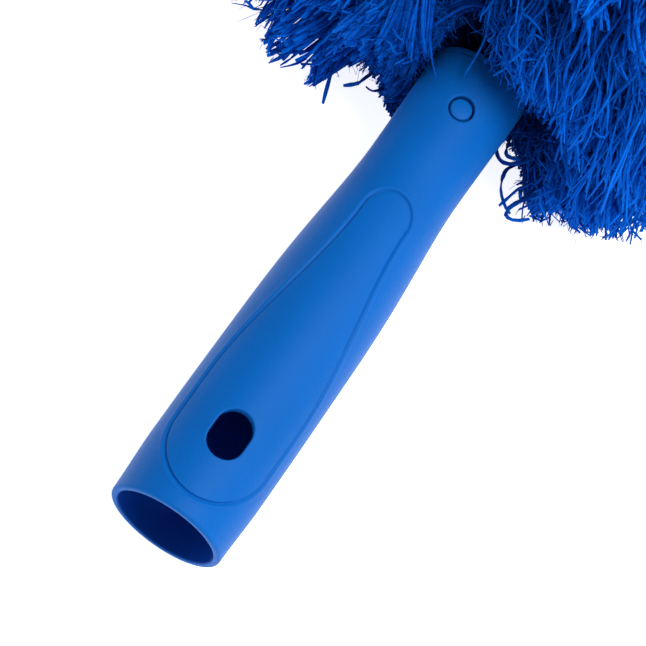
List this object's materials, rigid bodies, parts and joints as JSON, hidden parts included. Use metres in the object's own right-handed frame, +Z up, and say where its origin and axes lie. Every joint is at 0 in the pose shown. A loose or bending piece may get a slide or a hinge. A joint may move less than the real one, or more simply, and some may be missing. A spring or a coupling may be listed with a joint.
{
  "type": "wheel brush",
  "caption": "Soft yarn wheel brush: a round cut-yarn head on a twisted wire core, held by a lock button in a waisted plastic handle with a pole socket.",
  "frame": {"origin": "floor point under the centre of the brush's bounding box, as the brush lies on the floor", "axes": "+X from the handle's open mouth towards the yarn head, +Z up; the brush's own axis rises 7.96 degrees towards +X, and the handle's panel, lock hole and button face up"},
  "size_m": [0.287, 0.152, 0.1224],
  "materials": {
    "handle_plastic": "fine moulded texture",
    "plug_plastic": "satin",
    "button_plastic": "satin",
    "yarn": "soft cut yarn",
    "core_steel": "bright drawn wire",
    "sleeve_metal": "crimped",
    "spring_steel": "bright"
  },
  "bodies": {
    "handle_and_head": {"handle": "handle_plastic", "head_plug": "plug_plastic", "button_spring": "spring_steel", "core_wire_a": "core_steel", "core_wire_b": "core_steel", "crimp_sleeve": "sleeve_metal", "tip_cap": "plug_plastic", "yarn_turn_01": "yarn", "yarn_turn_02": "yarn", "yarn_turn_03": "yarn", "yarn_turn_04": "yarn", "yarn_turn_05": "yarn", "yarn_turn_06": "yarn", "yarn_turn_07": "yarn", "yarn_turn_08": "yarn", "yarn_turn_09": "yarn", "yarn_turn_10": "yarn", "yarn_turn_11": "yarn", "yarn_turn_12": "yarn"},
    "button": {"lock_button": "button_plastic"}
  },
  "joints": [
    {"name": "lock_press", "type": "slide", "parent": "handle_and_head", "child": "button", "axis": [0.1384, 0, -0.9904], "range_m": [0, 0.0028], "stiffness_N_per_m": 1200, "springref_m": -0.002, "deforming": ["button_spring"]}
  ]
}
